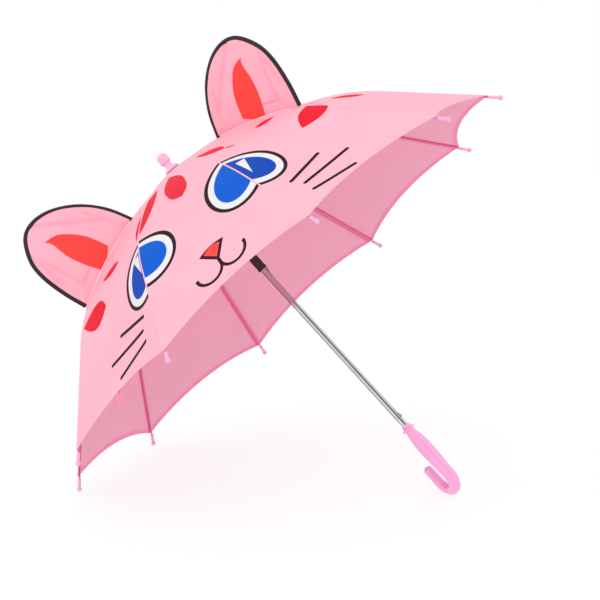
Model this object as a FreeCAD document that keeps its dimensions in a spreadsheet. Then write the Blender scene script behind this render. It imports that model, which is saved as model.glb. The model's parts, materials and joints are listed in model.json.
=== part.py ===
"""Children's umbrella with ten ribs, lying open on the floor on two rib tips and its hook.

Each piece is drawn in the umbrella's own axes: the shaft is Z with the ferrule up, the tip balls
of the ten ribs lie in the plane Z = 0, and X points to the middle of the front panel.  The last
section turns the whole umbrella into its lying position.
"""
import FreeCAD, Part
import Sketcher
import math
import os
import re

from FreeCAD import Placement, Rotation, Vector

doc = FreeCAD.newDocument("umbrella")
sheet = doc.addObject("Spreadsheet::Sheet", "Sizes")

SIZES = (
    ("rib_count", 10, "ribs, panels and stretchers"),
    ("rim_radius", 370, "shaft axis to the middle of a tip ball"),
    ("crown_hinge_height", 216, "rib hinge above the plane of the tip balls"),
    ("hinge_radius", 9, "shaft axis to the ring of rib hinges"),
    ("link_length", 189, "rib hinge to rivet, and rivet to runner hinge"),
    ("rib_slope", 17, "straight line from rib hinge to rivet, below level"),
    ("rib_bow", 7.8, "rise of the upper rib above that line"),
    ("bend_radius", 247.2, "bend of the lower rib"),
    ("rib_wire_radius", 1.1, "rib wire"),
    ("rivet_lead", 8, "straight start of the lower rib"),
    ("rivet_radius", 0.6, "rivet and ring wire"),
    ("rivet_play", 0.06, "radial play on a rivet"),
    ("eye_radius", 1.3, "rounded ends round the rivet"),
    ("tongue_thickness", 0.8, "flattened end of the upper rib"),
    ("rib_fork_gap", 1.2, "between the cheeks of the lower rib"),
    ("cheek_thickness", 0.5, "cheeks of the lower rib and the stretcher"),
    ("stretcher_fork_gap", 3.0, "between the cheeks of the stretcher"),
    ("stretcher_width", 2.2, "folded channel of the stretcher"),
    ("stretcher_height", 2.4, "folded channel of the stretcher"),
    ("channel_wall", 0.4, "sheet of the stretcher"),
    ("fork_length", 9, "stretcher fork, rivet to channel"),
    ("crown_eye_radius", 2.0, "rib end on the ring wire"),
    ("crown_eye_play", 0.1, "radial play on the ring wire"),
    ("runner_eye_radius", 1.8, "stretcher end in the runner"),
    ("slot_width", 2.8, "slots of notch and runner"),
    ("slot_floor_radius", 6.5, "shaft axis to the floor of a slot"),
    ("gallery_radius", 11.5, "outside of notch and runner gallery"),
    ("gallery_half_height", 4, "gallery above and below its hinges"),
    ("notch_top", 3, "notch above its hinges"),
    ("shaft_radius", 4, "steel tube"),
    ("shaft_wall", 0.6, "steel tube"),
    ("seat_play", 0.05, "between pieces pressed on the shaft"),
    ("slide_play", 0.06, "runner on the shaft"),
    ("runner_sleeve_radius", 6, "outside of the runner"),
    ("runner_lip_radius", 6.5, "rounded lower end of the runner"),
    ("runner_lip_height", 3, "rounded lower end of the runner"),
    ("runner_bottom", 46, "lower end of the runner when open"),
    ("fold_slope", 86, "rib_slope once the umbrella is folded"),
    ("canopy_offset", 1.9, "middle of the rib wire to the cloth"),
    ("canopy_thickness", 1.0, "cloth with its seam allowance"),
    ("canopy_eyelet_radius", 5.5, "hole of the canopy on the ferrule neck"),
    ("canopy_crown_radius", 12.5, "flat top of the canopy"),
    ("canopy_crown_gap", 0.5, "notch to cloth"),
    ("canopy_joins_rib", 60, "shaft axis to where the cloth lies on the ribs"),
    ("hem_to_tip", 15, "corner of the cloth to the tip ball's middle"),
    ("hem_rise", 16, "scallop of the hem between two ribs"),
    ("panel_gap", 0.3, "between neighbouring gores"),
    ("tip_ball_radius", 3.25, "plastic tip"),
    ("tip_neck_radius", 2.1, "plastic tip"),
    ("tip_neck_length", 13, "plastic tip, neck to the middle of the ball"),
    ("tip_bore_play", 0.05, "tip on the rib wire"),
    ("tip_wall_end", 1, "rib wire to the middle of the ball"),
    ("ferrule_base_radius", 11, "flange that clamps the canopy"),
    ("ferrule_base_height", 4, "flange"),
    ("ferrule_neck_radius", 5, "waist of the ferrule"),
    ("ferrule_head_radius", 7.5, "knob of the ferrule"),
    ("ferrule_height", 27, "whole ferrule above the cloth"),
    ("ferrule_wall", 3, "knob above the shaft's end"),
    ("cloth_clearance", 0.3, "cloth to the ferrule"),
    ("handle_top", 223.5, "collar of the handle below the plane of the tip balls"),
    ("handle_bottom", 332, "lowest point of the hook below that plane"),
    ("collar_radius", 9, "flange of the handle"),
    ("collar_thickness", 3, "flange of the handle"),
    ("collar_neck", 5, "spigot above the flange"),
    ("spigot_radius", 6, "spigot above the flange"),
    ("throat_radius", 6.2, "grip just under the flange"),
    ("grip_radius", 9.5, "thickest part of the grip"),
    ("grip_straight", 30, "cylindrical middle of the grip"),
    ("grip_taper", 22, "flange to the cylindrical middle"),
    ("hook_tube_radius", 7, "hook"),
    ("hook_bend_radius", 17, "middle line of the hook's bend"),
    ("hook_leg", 20, "straight free leg of the hook"),
    ("hook_azimuth", -148, "side that the hook opens to"),
    ("shaft_in_handle", 40, "depth of the shaft in the handle"),
    ("catch_azimuth", 72, "side of the spring catches"),
    ("catch_thickness", 1.4, "spring plate"),
    ("catch_reach", 5.9, "shaft axis to the nose of a catch"),
    ("catch_half_length", 9, "spring plate inside the tube"),
    ("catch_nose_half", 6.5, "nose of the catch"),
    ("catch_window_play", 0.3, "round the nose in the tube's window"),
    ("catch_travel", 2.2, "how far a catch presses in"),
    ("catch_gap", 0.5, "runner to the catch under it"),
    ("lower_catch_height", -206, "middle of the lower catch"),
    ("ear_base_inner", 93, "shaft axis to the ear's upper root"),
    ("ear_past_rivet", 35.26, "rivet to the ear's lower root, measured across the shaft"),
    ("ear_height", 262, "ear's highest point above the plane of the tip balls"),
    ("ear_overhang", 15, "ear's lower root to its outer edge, measured across the shaft"),
    ("ear_thickness", 5, "padded ear"),
    ("ear_seat", 0.3, "ear to the cloth under it"),
    ("ear_azimuth", 54, "seams that carry the ears, left and right"),
    ("strap_width", 18, "closing strap"),
    ("strap_length", 60, "folded closing strap"),
    ("strap_thickness", 1.5, "folded closing strap"),
    ("strap_azimuth", -36, "panel that carries the closing strap"),
    ("strap_hem_inset", -5, "hem to the strap's lower end, which peeks out"),
    ("floor_azimuth", -108, "panel whose two tips rest on the floor"),
)
for row, (alias, number, note) in enumerate(SIZES, start=1):
    sheet.set("A%d" % row, note)
    sheet.set("B%d" % row, str(number))
    sheet.setAlias("B%d" % row, alias)
doc.recompute()

NAMES = {alias for alias, number, note in SIZES}
ACROSS = Rotation(Vector(1, 0, 0), 90)  # turns an upright primitive to lie along -Y
NOTHING = Placement()


def value(formula):
    """Number that a formula on the sheet's names gives."""
    return float(sheet.evalExpression(formula))


def linked(formula):
    """The same formula as another object of the document has to write it."""
    return re.sub(r"[a-z_]+", lambda word: "Sizes." * (word.group() in NAMES) + word.group(), formula)


def at(x=0.0, y=0.0, z=0.0, rotation=Rotation()):
    return Placement(Vector(x, y, z), rotation)


def primitive(kind, name, place=NOTHING, **sizes):
    """A Part primitive with its sizes bound to the sheet."""
    piece = doc.addObject("Part::" + kind, name)
    for property_name, formula in sizes.items():
        piece.setExpression(property_name, linked(formula))
    piece.Placement = place
    return piece


def cross_cylinder(name, radius, width, x=0.0, z=0.0):
    """Cylinder along Y, centred on Y = 0."""
    place = at(x, value(width) / 2, z, ACROSS)
    return primitive("Cylinder", name, place, Radius=radius, Height=width)


def block(name, length, width, height, place):
    """Box centred on Y and Z, starting at X = 0 of its place."""
    centred = place.multiply(at(0, -value(width) / 2, -value(height) / 2))
    return primitive("Box", name, centred, Length=length, Width=width, Height=height)


def fuse(name, *pieces):
    whole = doc.addObject("Part::MultiFuse", name)
    whole.Shapes = list(pieces)
    return whole


def cut(name, base, tool):
    rest = doc.addObject("Part::Cut", name)
    rest.Base = base
    rest.Tool = tool
    return rest


def about_shaft(azimuth):
    """Turn about the shaft, in degrees from the front."""
    return Placement(Vector(), Rotation(Vector(0, 0, 1), azimuth))


def down(degrees):
    """Turn about Y that tips the X axis down by an angle."""
    return Rotation(Vector(0, 1, 0), degrees)


def origin_part(body, role):
    return next(part for part in body.Origin.OriginFeatures if part.Role == role)


def outline(body, name, plane, corners):
    """Closed sketch of straight lines, each corner tied to two formulas."""
    sketch = body.newObject("Sketcher::SketchObject", name)
    sketch.AttachmentSupport = (origin_part(body, plane), [""])
    sketch.MapMode = "FlatFace"
    spots = [Vector(value(across), value(along), 0) for across, along in corners]
    for first, second in zip(spots, spots[1:] + spots[:1]):
        sketch.addGeometry(Part.LineSegment(first, second), False)
    count = len(spots)
    for line in range(count):
        sketch.addConstraint(Sketcher.Constraint("Coincident", line, 2, (line + 1) % count, 1))
    for line, (across, along) in enumerate(corners):
        for kind, formula in (("DistanceX", across), ("DistanceY", along)):
            number = value(formula)
            index = sketch.addConstraint(Sketcher.Constraint(kind, -1, 1, line, 1, number))
            tag = "%s_%d" % (kind, line)
            sketch.renameConstraint(index, tag)
            sketch.setExpression("Constraints." + tag, linked(formula))
    return sketch


def turned(body, name, corners):
    """Revolution of a closed section, given as radius and height, about the body's Z axis."""
    section = outline(body, name + "_section", "XZ_Plane", corners)
    solid = body.newObject("PartDesign::Revolution", name)
    solid.Profile = section
    solid.ReferenceAxis = (section, ["V_Axis"])
    solid.Angle = 360
    return solid


def pocket_through(body, name, corners, length):
    """Pocket of a closed outline in the XY plane, cut both ways."""
    hole = body.newObject("PartDesign::Pocket", name)
    hole.Profile = outline(body, name + "_outline", "XY_Plane", corners)
    hole.Midplane = True
    hole.setExpression("Length", linked(length))
    return hole


def around(body, name, feature):
    """As many copies of a feature round Z as there are ribs."""
    ring = body.newObject("PartDesign::PolarPattern", name)
    ring.Originals = [feature]
    ring.Axis = (origin_part(body, "Z_Axis"), [""])
    ring.Angle = 360
    ring.setExpression("Occurrences", linked("rib_count"))
    body.Tip = ring
    return ring


# ---------------------------------------------------------------- geometry that the pieces share

RIBS = int(value("rib_count"))
HALF_PANEL = 180.0 / RIBS
LINK = value("link_length")
HINGE_RADIUS = value("hinge_radius")
CROWN_HEIGHT = value("crown_hinge_height")
RIB_SLOPE = value("rib_slope")

# upper rib: an arc over the straight line from its hinge to the rivet
BOW_RADIUS = (LINK ** 2 / 4 + value("rib_bow") ** 2) / (2 * value("rib_bow"))
BOW_ANGLE = math.degrees(math.asin(LINK / 2 / BOW_RADIUS))
RIVET = Vector(HINGE_RADIUS + LINK * math.cos(math.radians(RIB_SLOPE)), 0,
               CROWN_HEIGHT - LINK * math.sin(math.radians(RIB_SLOPE)))
RUNNER_HINGE_HEIGHT = 2 * RIVET.z - CROWN_HEIGHT

# lower rib: it leads on from the upper one, bends once and runs straight to the tip
LEAD_SLOPE = RIB_SLOPE + BOW_ANGLE
LEAD = value("rivet_lead")
BEND_RADIUS = value("bend_radius")
RIM = Vector(value("rim_radius"), 0, 0)
from_bend = down(LEAD_SLOPE).inverted().multVec(RIM - RIVET) - Vector(LEAD, 0, -BEND_RADIUS)
END_RUN = math.sqrt(from_bend.Length ** 2 - BEND_RADIUS ** 2)
BEND = math.degrees(math.atan2(from_bend.x, from_bend.z) - math.atan2(END_RUN, BEND_RADIUS))
RIM_SLOPE = LEAD_SLOPE + BEND

# runner travel from open to folded
FOLDED_HINGE_HEIGHT = CROWN_HEIGHT - 2 * LINK * math.sin(math.radians(value("fold_slope")))
RUNNER_TRAVEL = RUNNER_HINGE_HEIGHT - FOLDED_HINGE_HEIGHT


def direction(slope):
    return down(slope).multVec(Vector(1, 0, 0))


def normal(slope):
    return down(slope).multVec(Vector(0, 0, 1))


BOW_CENTRE = Vector(HINGE_RADIUS, 0, CROWN_HEIGHT) + direction(RIB_SLOPE) * (LINK / 2)
BOW_CENTRE -= normal(RIB_SLOPE) * (BOW_RADIUS - value("rib_bow"))
BEND_START = RIVET + direction(LEAD_SLOPE) * LEAD
BEND_CENTRE = BEND_START - normal(LEAD_SLOPE) * BEND_RADIUS


def on_bow(slope, offset=0.0):
    """Point over the upper rib where it has a slope."""
    return BOW_CENTRE + normal(slope) * (BOW_RADIUS + offset)


def on_bend(slope, offset=0.0):
    """Point over the bent stretch of the lower rib where it has a slope."""
    return BEND_CENTRE + normal(slope) * (BEND_RADIUS + offset)


def slope_at_radius(radius, offset=0.0):
    """Slope of the upper rib at a distance from the shaft."""
    lift = (radius - BOW_CENTRE.x) / (BOW_RADIUS + offset)
    return math.degrees(math.asin(lift))


def over_tip(offset, before):
    """Point over the straight end of the rib, some way before the tip ball."""
    return RIM - direction(RIM_SLOPE) * before + normal(RIM_SLOPE) * offset


def bar(name, start, slope, length, radius):
    """Round bar along the rib plane, its length given as a number that is worked out."""
    rod = primitive("Cylinder", name, Placement(start, down(slope + 90)), Radius=radius)
    rod.Height = length
    return rod


def bent_bar(name, centre, radius, first_slope, last_slope):
    """Rib wire along an arc about a centre below it."""
    frame = Rotation(normal(first_slope), direction(first_slope), Vector(0, 1, 0), "XYZ")
    arc = primitive("Torus", name, Placement(centre, frame), Radius2="rib_wire_radius")
    arc.Radius1 = radius
    arc.Angle3 = last_slope - first_slope
    return arc


# ---------------------------------------------------------------- one of each repeated piece

def upper_rib(tag):
    """Spring wire with an eye for the ring wire and a flat tongue that carries the rivet."""
    eye_width = "2 * rib_wire_radius"
    eye = cross_cylinder(tag + "_eye", "crown_eye_radius", eye_width, HINGE_RADIUS, CROWN_HEIGHT)
    tongue_length = 2.0 + LEAD / 2
    first = RIB_SLOPE - BOW_ANGLE + math.degrees(value("crown_eye_radius") / 2 / BOW_RADIUS)
    last = RIB_SLOPE + BOW_ANGLE - math.degrees((tongue_length - 1) / BOW_RADIUS)
    wire = bent_bar(tag + "_wire", BOW_CENTRE, BOW_RADIUS, first, last)
    back = Placement(RIVET - direction(LEAD_SLOPE) * tongue_length, down(LEAD_SLOPE))
    tongue = block(tag + "_tongue", "2 + rivet_lead / 2", "tongue_thickness",
                   "2 * rib_wire_radius", back)
    end = cross_cylinder(tag + "_end", "eye_radius", "tongue_thickness", RIVET.x, RIVET.z)
    rivet = cross_cylinder(tag + "_rivet", "rivet_radius",
                           "stretcher_fork_gap + 3 * cheek_thickness", RIVET.x, RIVET.z)
    whole = fuse(tag + "_blank", eye, wire, tongue, end, rivet)
    hole = cross_cylinder(tag + "_hole", "rivet_radius + crown_eye_play", "4 * rib_wire_radius",
                          HINGE_RADIUS, CROWN_HEIGHT)
    return cut(tag, whole, hole)


def fork(tag, place, length, gap, height):
    """Two cheeks with rounded ends round the rivet, at a place whose X runs along them."""
    cheeks = []
    shift = value(gap) / 2 + value("cheek_thickness") / 2
    for side in (-1, 1):
        beside = place.multiply(at(0, side * shift, 0))
        cheek = block("%s_cheek%d" % (tag, side > 0), length, "cheek_thickness", height, beside)
        centred = beside.multiply(at(0, value("cheek_thickness") / 2, 0, ACROSS))
        end = primitive("Cylinder", "%s_end%d" % (tag, side > 0), centred,
                        Radius="eye_radius", Height="cheek_thickness")
        cheeks += [cheek, end]
    return cheeks


def lower_rib(tag):
    """Spring wire that bends once, with a fork on the rivet."""
    place = Placement(RIVET, down(LEAD_SLOPE))
    start = RIVET + direction(LEAD_SLOPE) * (LEAD / 2)
    lead = bar(tag + "_lead", start, LEAD_SLOPE, LEAD / 2, "rib_wire_radius")
    bend = bent_bar(tag + "_bend", BEND_CENTRE, BEND_RADIUS, LEAD_SLOPE, RIM_SLOPE)
    end_start = on_bend(RIM_SLOPE)
    run = bar(tag + "_run", end_start, RIM_SLOPE, END_RUN - value("tip_wall_end"),
              "rib_wire_radius")
    cheeks = fork(tag, place, "rivet_lead - 2", "rib_fork_gap", "2 * rib_wire_radius")
    whole = fuse(tag + "_blank", lead, bend, run, *cheeks)
    hole = cross_cylinder(tag + "_hole", "rivet_radius + rivet_play", "4 * rib_wire_radius",
                          RIVET.x, RIVET.z)
    return cut(tag, whole, hole)


def stretcher(tag):
    """Folded channel with a fork on the rivet and a rounded end in the runner."""
    toward = Placement(RIVET, down(180 - RIB_SLOPE))
    cheeks = fork(tag, toward, "fork_length + cheek_thickness", "stretcher_fork_gap",
                  "stretcher_height")
    web = block(tag + "_web", "cheek_thickness * 3",
                "stretcher_fork_gap + 2 * cheek_thickness", "stretcher_height",
                toward.multiply(at(value("fork_length"), 0, 0)))
    blank = block(tag + "_bar", "link_length - fork_length", "stretcher_width",
                  "stretcher_height", toward.multiply(at(value("fork_length"), 0, 0)))
    hinge = Vector(HINGE_RADIUS, 0, RUNNER_HINGE_HEIGHT)
    end = cross_cylinder(tag + "_tail", "runner_eye_radius", "stretcher_width", hinge.x, hinge.z)
    whole = fuse(tag + "_blank", web, blank, end, *cheeks)
    groove_start = value("fork_length") + 4 * value("cheek_thickness")
    groove = block(tag + "_groove", "link_length - fork_length - 8 * cheek_thickness - 12",
                   "stretcher_width - 2 * channel_wall", "stretcher_height",
                   toward.multiply(at(groove_start, 0, -value("channel_wall"))))
    hole = cross_cylinder(tag + "_hole", "rivet_radius + rivet_play",
                          "stretcher_fork_gap + 4 * cheek_thickness", RIVET.x, RIVET.z)
    return cut(tag, cut(tag + "_grooved", whole, groove), hole)


def rib_tip(tag):
    """Ball with a socket neck that is pushed on the end of the rib and holds the cloth."""
    along = Placement(RIM, down(RIM_SLOPE + 90))
    neck = primitive("Cylinder", tag + "_neck", along.multiply(at(z=-value("tip_neck_length"))),
                     Radius="tip_neck_radius", Height="tip_neck_length")
    ball = primitive("Sphere", tag + "_ball", along, Radius="tip_ball_radius")
    deep = value("tip_neck_length") + 1
    bore = primitive("Cylinder", tag + "_bore", along.multiply(at(z=-deep)),
                     Radius="rib_wire_radius + tip_bore_play",
                     Height="tip_neck_length + 1 - tip_wall_end + 0.3")
    return cut(tag, fuse(tag + "_blank", neck, ball), bore)


def skin_points(offset):
    """Section of the cloth at a rib, from the eyelet to the hem, at a distance over the wire."""
    flat = CROWN_HEIGHT + value("notch_top") + value("canopy_crown_gap")
    flat += offset - value("canopy_offset")
    joins = slope_at_radius(value("canopy_joins_rib"), offset)
    middle_bow = (joins + LEAD_SLOPE) / 2
    middle_bend = (LEAD_SLOPE + RIM_SLOPE) / 2
    return (
        Vector(value("canopy_eyelet_radius"), 0, flat),
        Vector(value("canopy_crown_radius"), 0, flat),
        on_bow(joins, offset), on_bow(middle_bow, offset), on_bow(LEAD_SLOPE, offset),
        on_bend(LEAD_SLOPE, offset), on_bend(middle_bend, offset),
        on_bend(RIM_SLOPE, offset),
        over_tip(offset, value("hem_to_tip")),
    )


def skin_edges(points):
    """Straight crown, arc over the upper rib, straight lead, arc over the bend, straight end."""
    edges = [Part.LineSegment(points[0], points[1]), Part.LineSegment(points[1], points[2])]
    edges.append(Part.Arc(points[2], points[3], points[4]))
    edges.append(Part.LineSegment(points[4], points[5]))
    edges.append(Part.Arc(points[5], points[6], points[7]))
    edges.append(Part.LineSegment(points[7], points[8]))
    return [edge.toShape() for edge in edges]


def middle_of_panel(point):
    """A rib-plane point moved along the taut cloth to the middle line of the panel."""
    return Vector(point.x * math.cos(math.radians(HALF_PANEL)), 0, point.z)


def half_panel():
    """Cloth from a panel's middle line to the rib on its left, as seen from outside."""
    inner = [middle_of_panel(p) for p in skin_points(value("canopy_offset"))]
    outer_offset = value("canopy_offset") + value("canopy_thickness")
    outer = [middle_of_panel(p) for p in skin_points(outer_offset)]
    ends = [Part.LineSegment(inner[0], outer[0]).toShape(),
            Part.LineSegment(inner[-1], outer[-1]).toShape()]
    section = Part.Wire(Part.__sortEdges__(skin_edges(inner) + skin_edges(outer) + ends))
    strip = Part.Face(section).extrude(Vector(0, value("rim_radius"), 0))
    slant = math.tan(math.radians(HALF_PANEL))
    gap = value("panel_gap") / 2
    far = 2 * value("rim_radius")
    corners = [Vector(gap / slant, gap, -far), Vector(far, gap, -far), Vector(far, far * slant, -far)]
    wedge = Part.Face(Part.makePolygon(corners + corners[:1])).extrude(Vector(0, 0, 2 * far))
    half_hem = over_tip(0, value("hem_to_tip")).x * math.sin(math.radians(HALF_PANEL))
    rise = value("hem_rise")
    scallop_radius = (half_hem ** 2 + rise ** 2) / (2 * rise)
    fall = inner[-2] - inner[-1]
    fall.normalize()
    rest = Rotation(Vector(0, 1, 0), math.degrees(math.atan2(fall.z, -fall.x)))
    square = rest.multVec(Vector(0, 0, 1))
    centre = middle_of_panel(over_tip(value("canopy_offset"), value("hem_to_tip")))
    centre -= fall * (scallop_radius - rise)
    depth = 10 * value("canopy_thickness")
    scallop = Part.makeCylinder(scallop_radius, 2 * depth, centre - square * depth, square)
    return strip.common(wedge).cut(scallop)


def gore_shape():
    """Cloth from the middle of one panel over a rib to the middle of the next."""
    half = half_panel()
    half.rotate(Vector(), Vector(0, 0, 1), -HALF_PANEL)
    other = half.mirror(Vector(), Vector(0, 1, 0))
    return half.fuse(other).removeSplitter()


def feature(name, shape):
    """Piece whose shape is worked out with Part's own functions."""
    piece = doc.addObject("Part::Feature", name)
    piece.Shape = shape.Solids[0]
    return piece


# ---------------------------------------------------------------- single pieces

def crown_notch():
    """Slotted crown on the shaft with the ring wire that the rib eyes turn on."""
    body = doc.addObject("PartDesign::Body", "crown_notch_body")
    bore = "shaft_radius + seat_play"
    low = "crown_hinge_height - gallery_half_height"
    high = "crown_hinge_height + notch_top"
    turned(body, "crown_blank", ((bore, low), ("gallery_radius", low),
                                 ("gallery_radius", high), (bore, high)))
    slot = pocket_through(body, "crown_slot", (
        ("slot_floor_radius", "-slot_width / 2"), ("gallery_radius + 2", "-slot_width / 2"),
        ("gallery_radius + 2", "slot_width / 2"), ("slot_floor_radius", "slot_width / 2")),
        "4 * crown_hinge_height")
    around(body, "crown_slots", slot)
    ring = body.newObject("PartDesign::AdditiveTorus", "crown_ring_wire")
    ring.setExpression("Radius1", linked("hinge_radius"))
    ring.setExpression("Radius2", linked("rivet_radius"))
    ring.AttachmentOffset = at(z=CROWN_HEIGHT)
    ring.Placement = at(z=CROWN_HEIGHT)
    body.Tip = ring
    return body


def runner():
    """Sleeve on the shaft with a slotted gallery and a window for the lower catch."""
    body = doc.addObject("PartDesign::Body", "runner_body")
    body_bore = "shaft_radius + slide_play"
    lip = "runner_bottom + runner_lip_height"
    hinge = "%.6f" % RUNNER_HINGE_HEIGHT
    low = hinge + " - gallery_half_height"
    high = hinge + " + gallery_half_height"
    turned(body, "runner_blank", (
        (body_bore, "runner_bottom"), ("runner_lip_radius - 1", "runner_bottom"),
        ("runner_lip_radius", "runner_bottom + 1"), ("runner_lip_radius", lip),
        ("runner_sleeve_radius", lip + " + 1"), ("runner_sleeve_radius", low + " - 2"),
        ("gallery_radius - 2", low), ("gallery_radius", low + " + 1"),
        ("gallery_radius", high), (body_bore, high)))
    slot = pocket_through(body, "runner_slot", (
        ("slot_floor_radius", "-slot_width / 2"), ("gallery_radius + 2", "-slot_width / 2"),
        ("gallery_radius + 2", "slot_width / 2"), ("slot_floor_radius", "slot_width / 2")),
        "4 * crown_hinge_height")
    around(body, "runner_slots", slot)
    window = body.newObject("PartDesign::SubtractiveBox", "runner_window")
    wide = "catch_thickness + 2 * catch_window_play"
    high = "2 * catch_nose_half + 4 * catch_window_play"
    window.setExpression("Length", linked("gallery_radius"))
    window.setExpression("Width", linked(wide))
    window.setExpression("Height", linked(high))
    turn = about_shaft(value("catch_azimuth") - HALF_PANEL)
    height = LOWER_CATCH + RUNNER_TRAVEL - value(high) / 2
    window.Placement = turn.multiply(at(value("shaft_radius - shaft_wall"), -value(wide) / 2, height))
    body.Tip = window
    return body


def shaft_tube():
    """Steel tube from the ferrule to the handle, with a window for each catch."""
    low = -value("handle_top + shaft_in_handle")
    top = FERRULE_FOOT + value("ferrule_height - ferrule_wall")
    outside = primitive("Cylinder", "shaft_outside", at(z=low), Radius="shaft_radius")
    outside.Height = top - low
    inside = primitive("Cylinder", "shaft_inside", at(z=low - 1), Radius="shaft_radius - shaft_wall")
    inside.Height = top - low + 2
    tube = cut("shaft_tube", outside, inside)
    turn = about_shaft(value("catch_azimuth"))
    windows = []
    for name, height in (("upper_window", UPPER_CATCH), ("lower_window", LOWER_CATCH)):
        windows.append(block(name, "2 * shaft_radius", "catch_thickness + 2 * catch_window_play",
                             "2 * catch_nose_half + 2 * catch_window_play",
                             turn.multiply(at(z=height))))
    return cut("shaft_blank", tube, fuse("shaft_windows", *windows))


def spring_catch(tag):
    """Flat spring in the tube with a sloped nose that stands out of the window."""
    body = doc.addObject("PartDesign::Body", tag + "_body")
    shoulder = "shaft_radius - shaft_wall - catch_window_play"
    heel = "-0.5"
    long_side = "catch_half_length"
    nose = "catch_nose_half"
    section = outline(body, tag + "_side", "XZ_Plane", (
        (heel, "-" + long_side), (shoulder, "-" + long_side), (shoulder, "-" + nose),
        ("catch_reach", nose + " - 2"), ("catch_reach", nose), (shoulder, nose),
        (shoulder, long_side), (heel, long_side)))
    plate = body.newObject("PartDesign::Pad", tag + "_plate")
    plate.Profile = section
    plate.Midplane = True
    plate.setExpression("Length", linked("catch_thickness"))
    return body


def ferrule():
    """Turned knob that screws down on the crown and clamps the canopy."""
    body = doc.addObject("PartDesign::Body", "ferrule_body")
    bore = "shaft_radius + seat_play"
    base = "ferrule_base_radius"
    neck = "ferrule_neck_radius"
    head = "ferrule_head_radius"
    top = "ferrule_height"
    turned(body, "ferrule_blank", (
        (bore, "0"), (base + " - 1", "0"), (base, "1"), (base + " - 1.5", "ferrule_base_height"),
        (neck + " + 1", "ferrule_base_height + 2"), (neck, "ferrule_base_height + 5"),
        (neck, "ferrule_base_height + 7"), (head, top + " - 13"), (head, top + " - 4"),
        (head + " - 3", top + " - 0.6"), ("0", top), ("0", top + " - ferrule_wall"),
        (bore, top + " - ferrule_wall")))
    return body


def handle():
    """Moulded hook handle: spigot, flange, swelling grip, bend and free leg."""
    top = -value("handle_top")
    flange_top = top - value("collar_neck")
    flange_bottom = flange_top - value("collar_thickness")
    grip_top = flange_bottom - value("grip_taper")
    grip_bottom = grip_top - value("grip_straight")
    bend_height = -value("handle_bottom") + value("hook_tube_radius") + value("hook_bend_radius")
    turn = about_shaft(value("hook_azimuth"))
    spigot = primitive("Cylinder", "spigot", at(z=flange_top), Radius="spigot_radius",
                       Height="collar_neck")
    flange = primitive("Cylinder", "flange", at(z=flange_bottom), Radius="collar_radius",
                       Height="collar_thickness")
    throat = primitive("Cone", "throat", at(z=grip_top), Radius1="grip_radius",
                       Radius2="throat_radius", Height="grip_taper")
    grip = primitive("Cylinder", "grip", at(z=grip_bottom), Radius="grip_radius",
                     Height="grip_straight")
    waist = primitive("Cone", "waist", at(z=bend_height), Radius1="hook_tube_radius",
                      Radius2="grip_radius")
    waist.Height = grip_bottom - bend_height
    upright = Rotation(Vector(1, 0, 0), -90)
    middle = turn.multiply(at(value("hook_bend_radius"), 0, bend_height, upright))
    bend = primitive("Torus", "hook_bend", middle, Radius1="hook_bend_radius",
                     Radius2="hook_tube_radius")
    bend.Angle3 = 180
    free = turn.multiply(at(2 * value("hook_bend_radius"), 0, bend_height))
    leg = primitive("Cylinder", "hook_leg", free, Radius="hook_tube_radius", Height="hook_leg")
    end = primitive("Sphere", "hook_end", free.multiply(at(z=value("hook_leg"))),
                    Radius="hook_tube_radius")
    whole = fuse("handle_blank", spigot, flange, throat, grip, waist, bend, leg, end)
    bore = primitive("Cylinder", "handle_bore", at(z=top - value("shaft_in_handle") - 0.3),
                     Radius="shaft_radius + seat_play", Height="shaft_in_handle + 2")
    return cut("handle_piece", whole, bore)


def ear_shape():
    """Padded cat's ear that stands in a seam over a rib, in the rib's plane."""
    lift = value("canopy_offset + canopy_thickness + ear_seat")
    first = slope_at_radius(value("ear_base_inner"), lift)
    root = on_bow(first, lift)
    lower_root = RIVET.x + value("ear_past_rivet")
    last = math.degrees(math.asin((lower_root - BEND_CENTRE.x) / (BEND_RADIUS + lift)))
    foot = on_bend(last, lift)
    base = [Part.Arc(root, on_bow((first + LEAD_SLOPE) / 2, lift), on_bow(LEAD_SLOPE, lift)),
            Part.LineSegment(on_bow(LEAD_SLOPE, lift), on_bend(LEAD_SLOPE, lift)),
            Part.Arc(on_bend(LEAD_SLOPE, lift), on_bend((LEAD_SLOPE + last) / 2, lift), foot)]
    high = value("ear_height")
    far = lower_root + value("ear_overhang")
    length = far - root.x
    shoulder = Vector(root.x + 0.36 * length, 0, high - 3)
    crest = Vector(root.x + 0.78 * length, 0, high + 6)
    corner = Vector(far - 4, 0, high - 16)
    belly = Vector(far, 0, (high + foot.z) / 2 + 4)
    back = Part.BSplineCurve()
    back.interpolate([root, shoulder, crest, corner, belly, foot])
    edges = [edge.toShape() for edge in base] + [back.toShape()]
    face = Part.Face(Part.Wire(Part.__sortEdges__(edges)))
    thickness = value("ear_thickness")
    ear = face.extrude(Vector(0, thickness, 0))
    ear.translate(Vector(0, -thickness / 2, 0))
    return ear


def closing_strap():
    """Folded closing strap, sewn inside the hem in the middle of a panel."""
    slope = math.degrees(math.atan(math.tan(math.radians(RIM_SLOPE))
                                   / math.cos(math.radians(HALF_PANEL))))
    hem = middle_of_panel(over_tip(value("canopy_offset"), value("hem_to_tip")))
    start = hem - direction(slope) * value("hem_rise - strap_hem_inset")
    start -= normal(slope) * value("strap_thickness / 2 + panel_gap")
    place = Placement(start, down(slope + 180))
    return block("closing_strap_piece", "strap_length", "strap_width", "strap_thickness", place)


# ---------------------------------------------------------------- the assembly

FERRULE_FOOT = CROWN_HEIGHT + value("notch_top + canopy_crown_gap + canopy_thickness + cloth_clearance")
UPPER_CATCH = value("runner_bottom - catch_gap - catch_nose_half")
LOWER_CATCH = value("lower_catch_height")


placed = {}


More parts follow.
